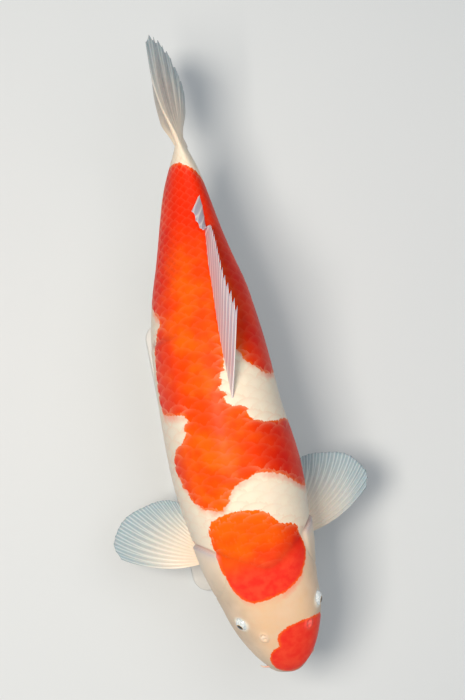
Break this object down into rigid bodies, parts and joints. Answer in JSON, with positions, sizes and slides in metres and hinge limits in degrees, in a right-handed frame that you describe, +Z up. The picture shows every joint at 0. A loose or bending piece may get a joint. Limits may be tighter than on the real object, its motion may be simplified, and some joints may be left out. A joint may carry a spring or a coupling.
{
  "type": "koi carp display model",
  "caption": "Life-size still model of a swimming koi carp, white with red markings, with spread side fins, on a flat base with short rods.",
  "frame": {"origin": "centre of the underside of the stand's base, in the plane it stands on, below the fish's centre of mass", "axes": "+Z up, the fish's head points to -Y and its tail to +Y, its left side faces +X"},
  "size_m": [0.2965, 0.7025, 0.2973],
  "materials": {
    "skin_white": "satin, wet-looking white carp skin and scales",
    "skin_red": "satin, wet-looking orange-red carp skin and scales",
    "barbel_skin": "soft pinkish skin",
    "fin": "thin milky white fin web over fine rays",
    "eye": "glossy silver-white iris with a black pupil",
    "stand_lacquer": "satin pale grey lacquer",
    "stand_steel": "brushed steel"
  },
  "bodies": {
    "root": {"head": "skin_white", "gill_cover_left": "skin_white", "gill_cover_right": "skin_white", "tail_stalk": "skin_white", "trunk_front": "skin_red", "trunk_middle": "skin_red", "trunk_rear": "skin_red", "upper_lip": "skin_red", "lower_lip": "skin_red", "barbel_upper_left": "barbel_skin", "barbel_upper_right": "barbel_skin", "barbel_corner_left": "barbel_skin", "barbel_corner_right": "barbel_skin", "dorsal_fin": "fin", "anal_fin": "fin", "pectoral_fin_left": "fin", "pectoral_fin_right": "fin", "pelvic_fin_left": "fin", "pelvic_fin_right": "fin", "tail_fin_upper_lobe": "fin", "tail_fin_lower_lobe": "fin", "eye_left": "eye", "eye_right": "eye", "stand_base": "stand_lacquer", "stand_foot_front": "stand_steel", "stand_foot_rear": "stand_steel", "stand_rod_front": "stand_steel", "stand_rod_rear": "stand_steel", "stand_saddle_front": "stand_steel", "stand_saddle_rear": "stand_steel"}
  },
  "joints": []
}
